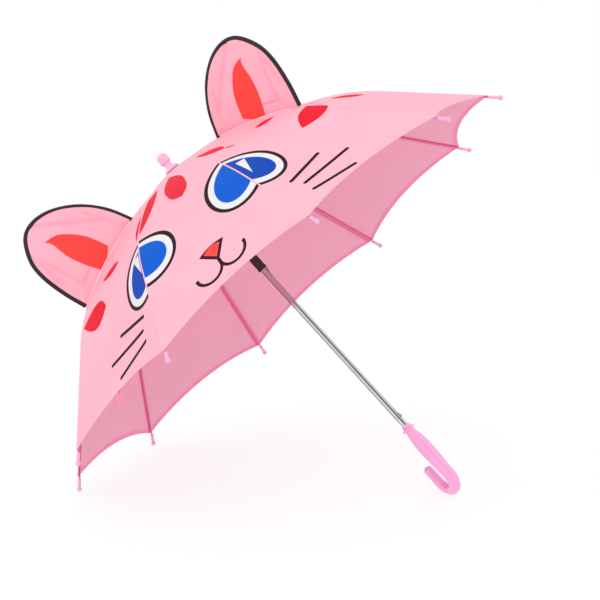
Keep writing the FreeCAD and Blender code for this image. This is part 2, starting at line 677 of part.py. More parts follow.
def node(label, piece, place=NOTHING):
    """Name a finished piece and note where it goes in the umbrella's own axes."""
    piece.Label = label
    placed[label] = (piece, place)


gore = gore_shape()
for number in range(RIBS):
    turn = about_shaft(HALF_PANEL * (2 * number + 1))
    tag = "%02d" % (number + 1)
    node("upper_rib_" + tag, upper_rib("ur" + tag), turn)
    node("lower_rib_" + tag, lower_rib("lr" + tag), turn)
    node("stretcher_" + tag, stretcher("st" + tag), turn)
    node("rib_tip_" + tag, rib_tip("tip" + tag), turn)
    node("canopy_gore_" + tag, feature("gore" + tag, gore), turn)

node("shaft", shaft_tube())
node("crown_notch", crown_notch(), about_shaft(HALF_PANEL))
node("runner", runner(), about_shaft(HALF_PANEL))
node("ferrule", ferrule(), at(z=FERRULE_FOOT))
node("handle", handle())
catch_turn = about_shaft(value("catch_azimuth"))
node("upper_catch", spring_catch("upper_catch"), catch_turn.multiply(at(z=UPPER_CATCH)))
flipped = at(z=LOWER_CATCH, rotation=Rotation(Vector(1, 0, 0), 180))
node("lower_catch", spring_catch("lower_catch"), catch_turn.multiply(flipped))
ear = ear_shape()
node("ear_right", feature("ear_right_piece", ear), about_shaft(value("ear_azimuth")))
node("ear_left", feature("ear_left_piece", ear), about_shaft(-value("ear_azimuth")))
strap = closing_strap()
strap_place = about_shaft(value("strap_azimuth")).multiply(strap.Placement)
node("closing_strap", strap, strap_place)

# ---------------------------------------------------------------- lying on the floor

FLOOR_SIDE = about_shaft(value("floor_azimuth")).Rotation.multVec(Vector(1, 0, 0))
HOOK_SIDE = about_shaft(value("hook_azimuth")).Rotation.multVec(Vector(1, 0, 0))


def to_floor(tilt):
    """Direction of the floor when the shaft leans by an angle from upright."""
    lean = math.radians(tilt)
    return FLOOR_SIDE * math.sin(lean) - Vector(0, 0, 1) * math.cos(lean)


def tips_below_hook(tilt):
    """How much nearer to the floor the two tips reach than the hook does."""
    below = to_floor(tilt)
    tip = about_shaft(value("floor_azimuth") + HALF_PANEL).multVec(RIM)
    tip_reach = tip.dot(below) + value("tip_ball_radius")
    bend = value("hook_bend_radius")
    centre = HOOK_SIDE * bend
    centre.z = -value("handle_bottom - hook_tube_radius - hook_bend_radius")
    swing = math.hypot(HOOK_SIDE.dot(below), below.z)
    return tip_reach - centre.dot(below) - bend * swing - value("hook_tube_radius")


def resting_tilt():
    """Lean at which the tips and the hook touch the floor together."""
    low, high = 20.0, 70.0
    for halving in range(50):
        middle = (low + high) / 2
        if tips_below_hook(middle) > 0:
            high = middle
        else:
            low = middle
    return middle


tilt = resting_tilt()
up = -to_floor(tilt)
toward_handle = FLOOR_SIDE * -math.cos(math.radians(tilt))
toward_handle -= Vector(0, 0, 1) * math.sin(math.radians(tilt))
lying = Rotation(toward_handle, up.cross(toward_handle), up, "XYZ").inverted()

for piece, place in placed.values():
    piece.Placement = Placement(Vector(), lying).multiply(place)
doc.recompute()

failed = [item.Name for item in doc.Objects if {"Invalid", "Error"} & set(item.State)]
failed += [label for label, (piece, place) in placed.items()
           if piece.Shape.isNull() or not piece.Shape.isValid() or not piece.Shape.Solids]
if failed:
    raise RuntimeError("failed pieces: " + ", ".join(failed))

bounds = FreeCAD.BoundBox()
for piece, place in placed.values():
    bounds.add(piece.Shape.optimalBoundingBox(False, False))
stand = Placement(Vector(-bounds.Center.x, -bounds.Center.y, -bounds.ZMin), lying)

os.makedirs("parts", exist_ok=True)
for label, (piece, place) in placed.items():
    piece.Placement = stand.multiply(place)
doc.recompute()
for label, (piece, place) in placed.items():
    piece.Shape.exportStep(os.path.join("parts", label + ".step"))

print("pieces", len(placed), "box mm", [round(v, 2) for v in (bounds.XLength, bounds.YLength, bounds.ZLength)])
print("lean", round(tilt, 4), "stand", [round(v, 5) for v in stand.Base], "quaternion",
      [round(v, 8) for v in stand.Rotation.Q])
print("rivet", [round(v, 5) for v in RIVET], "runner hinge height", round(RUNNER_HINGE_HEIGHT, 5),
      "travel", round(RUNNER_TRAVEL, 5), "rim slope", round(RIM_SLOPE, 4), "end run", round(END_RUN, 2))
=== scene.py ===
import json
import math

import bpy
import numpy as np
from mathutils import Matrix, Vector


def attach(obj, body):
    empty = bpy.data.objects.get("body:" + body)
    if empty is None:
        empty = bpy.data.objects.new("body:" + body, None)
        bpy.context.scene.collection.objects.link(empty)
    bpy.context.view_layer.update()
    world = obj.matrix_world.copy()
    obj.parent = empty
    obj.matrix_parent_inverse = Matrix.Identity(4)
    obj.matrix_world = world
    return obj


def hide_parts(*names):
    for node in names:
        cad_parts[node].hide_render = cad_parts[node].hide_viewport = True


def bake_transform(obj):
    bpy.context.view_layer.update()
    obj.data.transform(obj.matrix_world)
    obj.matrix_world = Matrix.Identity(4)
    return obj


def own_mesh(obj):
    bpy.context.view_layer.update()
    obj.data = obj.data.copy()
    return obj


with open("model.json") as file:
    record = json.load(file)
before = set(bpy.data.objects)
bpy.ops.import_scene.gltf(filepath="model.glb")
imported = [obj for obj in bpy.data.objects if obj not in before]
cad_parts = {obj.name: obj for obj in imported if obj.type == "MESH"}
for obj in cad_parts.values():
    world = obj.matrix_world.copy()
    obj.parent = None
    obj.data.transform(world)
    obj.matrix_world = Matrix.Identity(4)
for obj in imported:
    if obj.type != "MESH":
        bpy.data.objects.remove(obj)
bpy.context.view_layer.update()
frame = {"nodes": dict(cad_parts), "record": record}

MM = 0.001
record = frame["record"]
JOINTS = {joint["name"]: joint for joint in record["behaviour"]["joints"]}
TAGS = ["%02d" % number for number in range(1, 11)]
PANEL_HALF_ANGLE = math.pi / len(TAGS)

# ------------------------------------------------------------------ the umbrella's own axes

UP = Vector(JOINTS["runner_slide"]["axis"]).normalized()
HINGES = {tag: Vector(JOINTS["rib_hinge_" + tag]["pos_m"]) for tag in TAGS}
CROWN = sum(HINGES.values(), Vector()) / len(TAGS)
FRONT = ((HINGES["01"] + HINGES["10"]) / 2 - CROWN).normalized()
SIDE = UP.cross(FRONT)


def toward(azimuth):
    """Direction away from the shaft at an angle from the front."""
    return FRONT * math.cos(azimuth) + SIDE * math.sin(azimuth)


def rib_azimuth(tag):
    return (2 * int(tag) - 1) * PANEL_HALF_ANGLE


def spot(azimuth, radius, height, aside=0.0):
    """Point at a distance from the shaft and a height over the rib hinges, moved aside."""
    return CROWN + toward(azimuth) * radius + UP * height + UP.cross(toward(azimuth)) * aside


# ------------------------------------------------------------------ section of the cloth at a rib

RIB_REACH = 370 * MM      # shaft to the tip balls
RIB_DROP = 216 * MM       # rib hinges to the plane of the tip balls
RIB_BOW = 7.8 * MM        # rise of the upper rib over its chord
RIVET_LEAD = 8 * MM       # straight start of the lower rib
BEND_RADIUS = 247.2 * MM  # bend of the lower rib
CLOTH_OVER_RIB = 2.6 * MM
CLOTH_THICKNESS = 0.4 * MM
CROWN_RISE = 3.5 * MM     # rib hinges to the flat top of the cloth
EYELET = 5.5 * MM
CROWN_FLAT = 12.5 * MM
CLOTH_MEETS_RIB = 60 * MM
HEM_TO_TIP = 15 * MM
HEM_RISE = 16 * MM


def along(slope):
    """Unit step down a slope, as outward and upward parts."""
    return np.array([math.cos(slope), -math.sin(slope)])


def square_to(slope):
    return np.array([math.sin(slope), math.cos(slope)])


hinge_to_rivet = Vector(JOINTS["rib_flex_01"]["pos_m"]) - CROWN
HINGE = np.array([(HINGES["01"] - CROWN).length, 0.0])
RIVET = np.array([hinge_to_rivet.dot(toward(rib_azimuth("01"))), hinge_to_rivet.dot(UP)])
TIP = np.array([RIB_REACH, -RIB_DROP])
CHORD = float(np.linalg.norm(RIVET - HINGE))
CHORD_SLOPE = math.atan2(HINGE[1] - RIVET[1], RIVET[0] - HINGE[0])
BOW_RADIUS = (CHORD ** 2 / 4 + RIB_BOW ** 2) / (2 * RIB_BOW)
RIVET_SLOPE = CHORD_SLOPE + math.asin(CHORD / 2 / BOW_RADIUS)
BOW_CENTRE = (HINGE + RIVET) / 2 - square_to(CHORD_SLOPE) * (BOW_RADIUS - RIB_BOW)
BEND_START = RIVET + along(RIVET_SLOPE) * RIVET_LEAD
BEND_CENTRE = BEND_START - square_to(RIVET_SLOPE) * BEND_RADIUS
centre_to_tip = TIP - BEND_CENTRE
swing = math.atan2(centre_to_tip @ along(RIVET_SLOPE), centre_to_tip @ square_to(RIVET_SLOPE))
RIM_SLOPE = RIVET_SLOPE + swing - math.acos(BEND_RADIUS / float(np.linalg.norm(centre_to_tip)))


def on_bow(slope, lift=0.0):
    return BOW_CENTRE + square_to(slope) * (BOW_RADIUS + lift)


def on_bend(slope, lift=0.0):
    return BEND_CENTRE + square_to(slope) * (BEND_RADIUS + lift)


def rib_line(lift, start=CLOTH_MEETS_RIB):
    """Points over the rib wire from a distance off the shaft to the hem's corner."""
    first = math.asin((start - BOW_CENTRE[0]) / (BOW_RADIUS + lift))
    points = [on_bow(slope, lift) for slope in np.linspace(first, RIVET_SLOPE, 60)]
    points += [on_bend(slope, lift) for slope in np.linspace(RIVET_SLOPE, RIM_SLOPE, 40)]
    hem_corner = TIP - along(RIM_SLOPE) * HEM_TO_TIP + square_to(RIM_SLOPE) * lift
    points += list(np.linspace(points[-1], hem_corner, 50)[1:])
    return points


SECTION = np.array([[EYELET, CROWN_RISE], [CROWN_FLAT, CROWN_RISE]] + rib_line(CLOTH_OVER_RIB))
MIDDLE = SECTION * [math.cos(PANEL_HALF_ANGLE), 1]  # the same section on a panel's middle line
steps = np.linalg.norm(np.diff(MIDDLE, axis=0), axis=1)
DOWN_CLOTH = np.concatenate([[0], np.cumsum(steps)])  # distance from the eyelet, along the cloth
HEM_CORNER = float(DOWN_CLOTH[-1])
AT_RIVET = float(DOWN_CLOTH[61])
HALF_HEM = float(SECTION[-1, 0]) * math.sin(PANEL_HALF_ANGLE)
HEM_CURVE = (HALF_HEM ** 2 + HEM_RISE ** 2) / (2 * HEM_RISE)


def section_at(down):
    """Distance from the shaft at the rib, and height, where the cloth has run some way down."""
    return (float(np.interp(down, DOWN_CLOTH, SECTION[:, 0])),
            float(np.interp(down, DOWN_CLOTH, SECTION[:, 1])))


def half_panel(down):
    return section_at(down)[0] * math.sin(PANEL_HALF_ANGLE)


def hem_at(share):
    """How far down the scalloped hem lies, from a panel's middle (0) to the rib (1)."""
    down = HEM_CORNER
    for step in range(4):
        across = share * half_panel(down)
        down = HEM_CORNER - HEM_RISE + HEM_CURVE - math.sqrt(HEM_CURVE ** 2 - across ** 2)
    return down


PANEL_DIP = 1.8 * MM      # the taut cloth hollows a little between two ribs
FOLD_DEPTH = 0.8 * MM     # creases that fan out from a rib tip
FOLD_REACH = 55 * MM
FOLDS_AT_CORNER = 9
FOLD_START = 12 * MM      # the rib tip holds the cloth flat up to here
CROWN_CALM = 80 * MM      # the dip grows from nothing at the eyelet to its whole depth here
HEM_CALM = 0.6            # share of the dip that the stretched hem takes out


def cloth_point(tag, share, down, lift=0.0):
    """Point on a gore: share runs from one panel's middle (-1) over the rib (0) to the next (1)."""
    side = 1 if share > 0 else -1
    azimuth = rib_azimuth(tag) + side * PANEL_HALF_ANGLE
    radius, height = section_at(down)
    across = -side * (1 - abs(share)) * half_panel(down)
    before = section_at(down - MM)
    after = section_at(down + MM)
    slope = math.atan2(before[1] - after[1],
                       (after[0] - before[0]) * math.cos(PANEL_HALF_ANGLE))
    calm = min(1.0, down / CROWN_CALM) * (1 - min(1.0, down / HEM_CORNER) ** 6 * HEM_CALM)
    lift -= PANEL_DIP * calm * (1 - (1 - abs(share)) ** 2)
    from_rib = abs(share) * half_panel(down)
    from_corner = max(1e-6, HEM_CORNER - down)
    away = math.hypot(from_rib, from_corner)
    fan = math.atan2(from_rib, from_corner)
    crease = math.sin(FOLDS_AT_CORNER * fan + int(tag)) * math.sin(min(math.pi, 2 * fan))
    crease *= 1 - abs(share)
    lift += FOLD_DEPTH * crease * math.exp(-away / FOLD_REACH) * min(1.0, away / FOLD_START)
    radius = radius * math.cos(PANEL_HALF_ANGLE) + lift * math.sin(slope)
    return spot(azimuth, radius, height + lift * math.cos(slope), across)


# ------------------------------------------------------------------ materials


class Number:
    """A shader value that takes part in sums."""

    def __init__(self, finish, socket):
        self.finish = finish
        self.socket = socket

    def math(self, operation, *others):
        values = dict(enumerate((self,) + others))
        return self.finish.node("ShaderNodeMath", {"operation": operation}, values)

    def flipped(self, operation, other):
        return self.finish.node("ShaderNodeMath", {"operation": operation}, {0: other, 1: self})

    def __add__(self, other):
        return self.math("ADD", other)

    def __sub__(self, other):
        return self.math("SUBTRACT", other)

    def __mul__(self, other):
        return self.math("MULTIPLY", other)

    def __truediv__(self, other):
        return self.math("DIVIDE", other)

    def __rsub__(self, other):
        return self.flipped("SUBTRACT", other)

    def __rtruediv__(self, other):
        return self.flipped("DIVIDE", other)

    def __neg__(self):
        return self.math("MULTIPLY", -1.0)

    def __abs__(self):
        return self.math("ABSOLUTE")

    def __gt__(self, other):
        return self.math("GREATER_THAN", other)

    __radd__ = __add__
    __rmul__ = __mul__

    def root(self):
        return self.math("SQRT")

    def least(self, other):
        return self.math("MINIMUM", other)

    def most(self, other):
        return self.math("MAXIMUM", other)

    def between(self, low, high):
        """0 below low, 1 above high, smooth between them."""
        return self.finish.node("ShaderNodeMapRange", {"interpolation_type": "SMOOTHSTEP"},
                                {"Value": self, "From Min": low, "From Max": high})


class Finish:
    """A material under construction."""

    def __init__(self, name, **constants):
        self.material = bpy.data.materials.new(name)
        self.material.use_nodes = True
        self.tree = self.material.node_tree
        self.shader = self.tree.nodes["Principled BSDF"]
        for socket, constant in constants.items():
            self.shader.inputs[socket.replace("_", " ")].default_value = constant

    def node(self, kind, settings=(), inputs=(), output=0):
        made = self.tree.nodes.new(kind)
        for setting, choice in dict(settings).items():
            setattr(made, setting, choice)
        for socket, given in dict(inputs).items():
            self.feed(made.inputs[socket], given)
        return Number(self, made.outputs[output])

    def feed(self, socket, given):
        if isinstance(given, Number):
            self.tree.links.new(given.socket, socket)
        else:
            socket.default_value = given

    def surface(self, **inputs):
        for socket, given in inputs.items():
            self.feed(self.shader.inputs[socket.replace("_", " ")], given)

    def mix(self, share, first, second):
        return self.node("ShaderNodeMix", {"data_type": "RGBA"},
                         {"Factor": share, "A": first, "B": second}, 2)

    def place(self):
        """The piece's own coordinates, in metres."""
        return self.node("ShaderNodeTexCoord", output="Object")

    def noise(self, scale, detail=3.0, coordinates=None, roughness=0.5):
        return self.node("ShaderNodeTexNoise", {}, {
            "Vector": coordinates or self.place(), "Scale": scale, "Detail": detail,
            "Roughness": roughness}, "Fac")

    def parts(self, vector):
        return [self.node("ShaderNodeSeparateXYZ", {}, {0: vector}, axis) for axis in range(3)]

    def bump(self, height, strength, distance):
        return self.node("ShaderNodeBump", {}, {
            "Height": height, "Strength": strength, "Distance": distance})


def mixed(value):
    """Colour given as 0-255 screen numbers, made linear."""
    linear = [((c / 255 + 0.055) / 1.055) ** 2.4 if c > 10 else c / 255 / 12.92 for c in value]
    return (*linear, 1.0)


PINK = mixed((249, 180, 194))
DEEP_PINK = mixed((245, 172, 189))
# painted light: the inside's colour stands in for light shining through the cloth
INNER_GLOW_PINK = mixed((240, 170, 192))
# painted light: a stronger pink glow where light shines through the doubled cloth of seams and hem
SEAM_GLOW_PINK = mixed((242, 118, 164))
RED = mixed((226, 20, 46))
CORAL = mixed((255, 72, 66))
BLACK = mixed((40, 22, 30))
WHITE = mixed((226, 220, 222))
ICE = mixed((196, 220, 250))
BLUE = mixed((2, 88, 198))
# painted shade: the darker blue of the iris half on the side of the cloth that turns from the light
SHADED_IRIS_BLUE = mixed((2, 68, 172))
EDGE = 0.35 * MM  # softness of a printed edge


class Print:
    """Shapes printed on the cloth, worked out on the flat cloth in metres."""

    def __init__(self, finish, x, y):
        self.finish = finish
        self.x = x
        self.y = y

    def turned(self, centre, angle):
        """The same cloth with its origin moved to a centre, and turned."""
        x = self.x - centre[0] * MM
        y = self.y - centre[1] * MM
        cosine = math.cos(math.radians(angle))
        sine = math.sin(math.radians(angle))
        return x * cosine + y * sine, y * cosine - x * sine

    def inside(self, distance):
        """1 where a distance is below zero."""
        return 1 - distance.between(-EDGE, EDGE)

    def oval(self, centre, half_width, half_height, angle=0.0):
        x, y = self.turned(centre, angle)
        x = x / half_width
        y = y / half_height
        size = (x * x + y * y).root()
        return self.inside((size - MM) * min(half_width, half_height))

    def petal(self, centre, half_length, half_width, angle, lean=0.0):
        """Pointed at both ends, and fuller toward one of them."""
        x, y = self.turned(centre, angle)
        share = y / (half_length * MM)
        width = (1 - share * share) * (1 - lean * share) * (half_width * MM)
        return self.inside((abs(x) - width).most(abs(y) - half_length * MM))

    def off_line(self, start, end):
        """How far a place lies past the ends of a line, and beside it."""
        run = math.hypot(end[0] - start[0], end[1] - start[1])
        angle = math.degrees(math.atan2(end[1] - start[1], end[0] - start[0]))
        x, y = self.turned(start, angle)
        return x - x.most(0.0).least(run * MM), y

    def stroke(self, start, end, width):
        """Straight line with round ends."""
        past, y = self.off_line(start, end)
        return self.inside((past * past + y * y).root() - width / 2 * MM)

    def smile(self, centre, radius, width):
        """Lower half of a ring."""
        x, y = self.turned(centre, 0)
        ring = abs((x * x + y * y).root() - radius * MM) - width / 2 * MM
        return self.inside(ring) * (y > 0.0)

    def flame(self, centre, angle, half_width, fullest, length):
        """Tongue of flame from a straight foot, with a tip that flicks to one side."""
        x, y = self.turned(centre, angle)
        past = (y - fullest * MM).most(0.0) / ((length - fullest) * MM)
        short = (fullest * MM - y).most(0.0) / (fullest * MM)
        width = (1 - past * past - short * short * 0.13) * (half_width * MM)
        flick = ((y - 0.72 * length * MM) / (0.28 * length * MM)).most(0.0)
        middle = flick * flick * flick * (0.5 * half_width * MM)
        flank = abs(x - middle) - width
        foot = -y - x * 0.21
        return self.inside(flank.most(foot).most(y - length * MM))

    def wedge(self, centre, half_width, height, angle):
        """Triangle on its flat top."""
        x, y = self.turned(centre, angle)
        flank = (abs(x) - (1 - y / (height * MM)) * (half_width * MM)) * 0.9
        return self.inside(flank.most(-y))

    def crease(self, start, end, width):
        """Soft line, darkest along its middle."""
        past, y = self.off_line(start, end)
        return 1 - (past * past * 0.2 + y * y).root().between(0.0, width * MM)

    def nose(self, centre, half_width, height):
        """Triangle that points down, with a bulging top."""
        x, y = self.turned(centre, 0)
        flank = (abs(x) - (1 - y / (height * MM)) * (half_width * MM)) * 0.8
        top = -y - (1 - x * x / (half_width * MM) ** 2) * 4 * MM
        return self.inside(flank.most(top))


def whole(shapes):
    """Any of several shapes."""
    total = shapes[0]
    for shape in shapes[1:]:
        total = total.most(shape)
    return total


THREAD_PITCH = 0.5 * MM
THREAD_HEIGHT = 0.04 * MM


def woven(finish, tone, thread, bump_height, normal_strength):
    """Fine plain weave on a colour, with uneven threads and soft folds."""
    x, y, flat = finish.parts(thread)
    across = (x * (2 * math.pi / THREAD_PITCH)).math("SINE")
    down = (y * (2 * math.pi / THREAD_PITCH)).math("SINE")
    weave = across * down
    cloudy = finish.noise(9.0, 4.0)
    slub = finish.noise(600.0, 2.0)
    shade = (cloudy - 0.5) * 0.10 + (slub - 0.5) * 0.05 + weave * 0.02
    lighter = finish.node("ShaderNodeMix", {"data_type": "RGBA", "blend_type": "MULTIPLY"}, {
        "Factor": 1.0, "A": tone, "B": finish.node("ShaderNodeCombineColor", {}, {
            0: 1 + shade, 1: 1 + shade, 2: 1 + shade})}, 2)
    relief = weave * THREAD_HEIGHT + bump_height
    normal = finish.bump(relief, normal_strength, 1.0)
    finish.surface(Base_Color=lighter, Roughness=0.62 + (slub - 0.5) * 0.15, Normal=normal)


# Bands of a printed eye from its edge inwards, in millimetres.
OUTLINE_WIDTH = 5.4
WHITE_WIDTH = 8.3
ICE_WIDTH = 0.8
IRIS_RISE = -1.5


def eye(seam, second, halves, spark, shaded):
    """Masks of an eye from the outline inwards: a slanting oval on each side of the seam, with painted
    shade on one half of the iris.
    """
    def both(inset, sink=0.0):
        shapes = []
        for side, (centre, half_width, half_height, angle) in zip((1 - second, second), halves):
            lowered = (centre[0], centre[1] + sink)
            shapes.append(side * seam.oval(lowered, half_width - inset, half_height - inset, angle))
        return whole(shapes)

    iris = both(OUTLINE_WIDTH + WHITE_WIDTH + ICE_WIDTH, IRIS_RISE)
    # painted shade: darker blue on one half of the iris, the side set by shaded
    shadow = iris * (second if shaded > 0 else 1 - second)
    glint = iris * seam.wedge(*spark)
    rim = both(OUTLINE_WIDTH + WHITE_WIDTH, IRIS_RISE)
    return ((both(0), BLACK), (both(OUTLINE_WIDTH), WHITE), (rim, ICE), (iris, BLUE),
            (shadow, SHADED_IRIS_BLUE), (glint, WHITE))


# Prints of the panels: places are (aside, down) in millimetres from the panel's middle line and from
# the eyelet; seam prints are measured from the seam.  Petals: place, half length, half width, turn, lean.
PANEL_PETALS = {
    0: [((-42, 150), 60, 10, 20, -0.1)],
    1: [((-27, 142), 30, 12, -4, -0.2), ((-22, 180), 9, 3.2, -20, 0.0), ((35, 186), 15, 7.5, -66, 0.2),
        ((60, 252), 36, 18, 66, 0.2)],
    2: [((-8, 196), 26, 10, 4, -0.3), ((34, 246), 24, 14, -40, 0.2), ((-38, 142), 20, 6, 12, -0.2)],
    3: [((-24, 238), 26, 14, 50, 0.3), ((26, 178), 24, 8, 14, -0.2)],
    4: [((14, 232), 27, 15, -55, 0.3), ((-30, 168), 24, 8, -14, -0.2), ((60, 290), 20, 9, 20, 0.1)],
    5: [((0, 190), 30, 11, 0, -0.3), ((-48, 262), 26, 14, 60, 0.1), ((46, 250), 26, 13, -60, 0.1)],
    6: [((-14, 232), 27, 15, 55, 0.3), ((30, 168), 24, 8, 14, -0.2), ((-60, 290), 20, 9, -20, 0.1)],
    7: [((24, 238), 26, 14, -50, 0.3), ((-26, 178), 24, 8, -14, -0.2)],
    8: [((8, 196), 26, 10, -4, -0.3), ((-34, 246), 24, 14, 40, 0.2), ((38, 142), 20, 6, -12, -0.2)],
    9: [((52, 182), 34, 5, -18, 0.0), ((-13, 204), 21, 9, 86, 0.2), ((-43, 257), 29, 19, 94, 0.3)],
}
WHISKERS = {
    1: [((-67, 338), (-8, 325)), ((-62, 356), (15, 352)), ((-67, 375), (-6, 384))],
    9: [((73, 335), (17, 325)), ((69, 353), (-9, 351)), ((73, 370), (9, 380))],
}


WHISKER_WIDTH = 5.0
MOUTH_WIDTH = 4.4
MOUTH_RADIUS = 18
MOUTH_DOWN = 360


def panel_marks(finish, panel, number):
    """Masks and colours of one panel's print."""
    petals = [panel.petal(*petal) for petal in PANEL_PETALS[number]]
    if number == 0:
        petals.append(panel.petal((2, 140), 66, 15, -4, -0.45))
        petals.append(panel.oval((4, 170), 15, 32, -4))
    marks = [(whole(petals), RED)]
    if number in WHISKERS:
        lines = [panel.stroke(start, end, WHISKER_WIDTH) for start, end in WHISKERS[number]]
        marks.append((whole(lines), BLACK))
    if number == 0:
        smiles, ends = [], []
        for side in (-1, 1):
            cheek = (side * MOUTH_RADIUS, MOUTH_DOWN)
            smiles.append(panel.smile(cheek, MOUTH_RADIUS, MOUTH_WIDTH))
            ends.append(panel.oval((2 * cheek[0], MOUTH_DOWN), 2.6, 2.6))
        stem = panel.stroke((0, 350), (0, 361), 4.6)
        marks += [(whole(smiles + ends + [stem, panel.nose((0, 330), 19, 26)]), BLACK),
                  (panel.nose((0, 331.5), 12.5, 17), CORAL)]
    return marks


# Each eye: its oval on either side of the seam (centre, half width, half height, turn), its glint,
# and the side of the iris that is darkened with painted shade.
EYES = {
    "01": ((((-7, 262), 41, 58, 40), ((9, 265), 39, 58, -36)), ((16, 243), 7, 37, 8), 1),
    "10": ((((-3, 272), 36, 54, 30), ((4, 263), 40, 52, -58)), ((-9, 245), 7, 33, -12), -1),
}


def outer_cloth(tag):
    """Printed outside of one gore."""
    finish = Finish("printed_cloth_" + tag, Sheen_Weight=0.02, Sheen_Roughness=0.5,
                    Specular_IOR_Level=0.08)
    seam_map = finish.node("ShaderNodeUVMap", {"uv_map": "seam"})
    panel_map = finish.node("ShaderNodeUVMap", {"uv_map": "panel"})
    aside, down, flat = finish.parts(seam_map)
    across, fall, flat = finish.parts(panel_map)
    second = aside > 0.0
    tone = finish.mix(finish.noise(5.0, 2.0), PINK, DEEP_PINK)
    panel = Print(finish, across, fall)
    first_number = int(tag) - 1
    for number, here in ((first_number, 1 - second), (int(tag) % 10, second)):
        for mask, colour in panel_marks(finish, panel, number):
            tone = finish.mix(mask * here, tone, colour)
    if tag in EYES:
        for mask, colour in eye(Print(finish, aside, down), second, *EYES[tag]):
            tone = finish.mix(mask, tone, colour)
    stitched = 1 - (abs(aside) - 1.0 * MM).between(-EDGE, EDGE)
    tone = finish.mix(stitched, tone, PINK)
    hem = finish.node("ShaderNodeAttribute", {"attribute_name": "to_hem"}, output="Fac")
    turn_under = 1 - (hem - 7 * MM).between(-EDGE, EDGE)
    thread_line = 1 - (abs(hem - 6 * MM) - 0.3 * MM).between(0.0, EDGE)
    dashes = (across * (2 * math.pi / (3 * MM))).math("SINE").between(-0.3, 0.3)
    ridge = stitched * 0.25 * MM + turn_under * 0.15 * MM - thread_line * dashes * 0.2 * MM
    groove = 1 - (abs(abs(aside) - 1.3 * MM) - 0.1 * MM).between(0.0, 0.4 * MM)
    woven(finish, tone, panel_map, ridge - groove * 0.15 * MM, 0.6)
    return finish.material


def inner_cloth():
    """Inside of the cloth, coloured to stand in for light shining through it, with a stronger painted
    glow along the seams and hem, where the cloth is doubled.
    """
    finish = Finish("inner_cloth", Sheen_Weight=0.02, Specular_IOR_Level=0.08)
    seam_map = finish.node("ShaderNodeUVMap", {"uv_map": "seam"})
    aside, down, flat = finish.parts(seam_map)
    folded = 1 - (abs(aside - 1.5 * MM) - 4.0 * MM).between(-EDGE, EDGE)
    hem = finish.node("ShaderNodeAttribute", {"attribute_name": "to_hem"}, output="Fac")
    turn_under = 1 - (hem - 6 * MM).between(-EDGE, EDGE)
    # painted light: the doubled cloth at the seams and the hem is painted a stronger glowing pink
    tone = finish.mix((folded * 0.9).most(turn_under * 0.5), INNER_GLOW_PINK, SEAM_GLOW_PINK)
    woven(finish, tone, seam_map, folded * 0.3 * MM + turn_under * 0.2 * MM, 0.6)
    return finish.material


# ------------------------------------------------------------------ making pieces


def new_piece(name, points, faces, materials):
    mesh = bpy.data.meshes.new(name)
    mesh.from_pydata([tuple(point) for point in points], [], faces)
    piece = bpy.data.objects.new(name, mesh)
    bpy.context.scene.collection.objects.link(piece)
    for material in materials:
        mesh.materials.append(material)
    return piece


def only(piece):
    """Select one piece and nothing else."""
    bpy.ops.object.select_all(action="DESELECT")
    piece.select_set(True)
    bpy.context.view_layer.objects.active = piece


def modified(piece, kind, **settings):
    only(piece)
    modifier = piece.modifiers.new(kind.title(), kind)
    for setting, choice in settings.items():
        setattr(modifier, setting, choice)
    bpy.ops.object.modifier_apply(modifier=modifier.name)


def smooth(piece, degrees):
    only(piece)
    bpy.ops.object.shade_smooth_by_angle(angle=math.radians(degrees))


def shares(count):
    """Places across a gore, closer together near the rib."""
    return [math.copysign(abs(n / count) ** 1.15, n) for n in range(-count, count + 1)]


ACROSS_HALF = 14


def cloth_sheet(name, tag, rows, materials, lift=0.0, thickness=CLOTH_THICKNESS):
    """Double-faced cloth over one rib: each row gives (down, lift) from a place across the gore."""
    across = shares(ACROSS_HALF)
    points, uvs, hems = [], [], []
    for row in rows:
        for share in across:
            down, raised = row(share)
            points.append(cloth_point(tag, share, down, lift + raised))
            hems.append(hem_at(1 - abs(share)) - down)
            uvs.append((share, down))
    width = len(across)
    faces = []
    for row in range(len(rows) - 1):
        for column in range(width - 1):
            corner = row * width + column
            faces.append((corner, corner + width, corner + width + 1, corner + 1))
    piece = new_piece(name, points, faces, materials)
    mesh = piece.data
    hem_layer = mesh.attributes.new("to_hem", "FLOAT", "POINT")
    hem_layer.data.foreach_set("value", hems)
    seam_layer = mesh.uv_layers.new(name="seam")
    panel_layer = mesh.uv_layers.new(name="panel")
    for polygon in mesh.polygons:
        beyond = uvs[polygon.vertices[0]][0] + uvs[polygon.vertices[2]][0] > 0
        for loop in polygon.loop_indices:
            share, down = uvs[mesh.loops[loop].vertex_index]
            half = half_panel(down)
            seam_layer.data[loop].uv = (share * half, down)
            panel_layer.data[loop].uv = (share * half + (-half if beyond else half), down)
    modified(piece, "SOLIDIFY", thickness=thickness, offset=-1, material_offset=1,
             material_offset_rim=1, use_even_offset=False)
    smooth(piece, 12)
    return piece


def flat_area(first, last):
    """Area of a gore's cloth from a distance down to its lower edge, given for a place across."""
    places = np.linspace(0, 1, 41)
    area = 0.0
    for share in (places[1:] + places[:-1]) / 2:
        lines = np.linspace(first, last(share), 60)
        area += 2 * float(np.trapz([half_panel(line) for line in lines], lines)) / 40
    return area


INNER = inner_cloth()
TUCK = 3 * MM             # the lower cloth starts under the edge of the upper one
TUCK_DROP = -0.5 * MM
UPPER_ROWS = 56
LOWER_ROWS = 64


def upper_rows():
    return [lambda share, down=down: (down, 0.0) for down in np.linspace(0, AT_RIVET, UPPER_ROWS)]


def lower_rows():
    rows = [lambda share: (AT_RIVET - TUCK, TUCK_DROP), lambda share: (AT_RIVET - 0.3 * MM, TUCK_DROP)]
    for part in np.linspace(0, 1, LOWER_ROWS):
        rows.append(lambda share, part=part: (
            AT_RIVET + (hem_at(1 - abs(share)) - AT_RIVET) * part, 0.0))
    return rows


def fold_with(piece, body):
    """Ride on a rib."""
    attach(piece, body)
    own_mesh(piece)


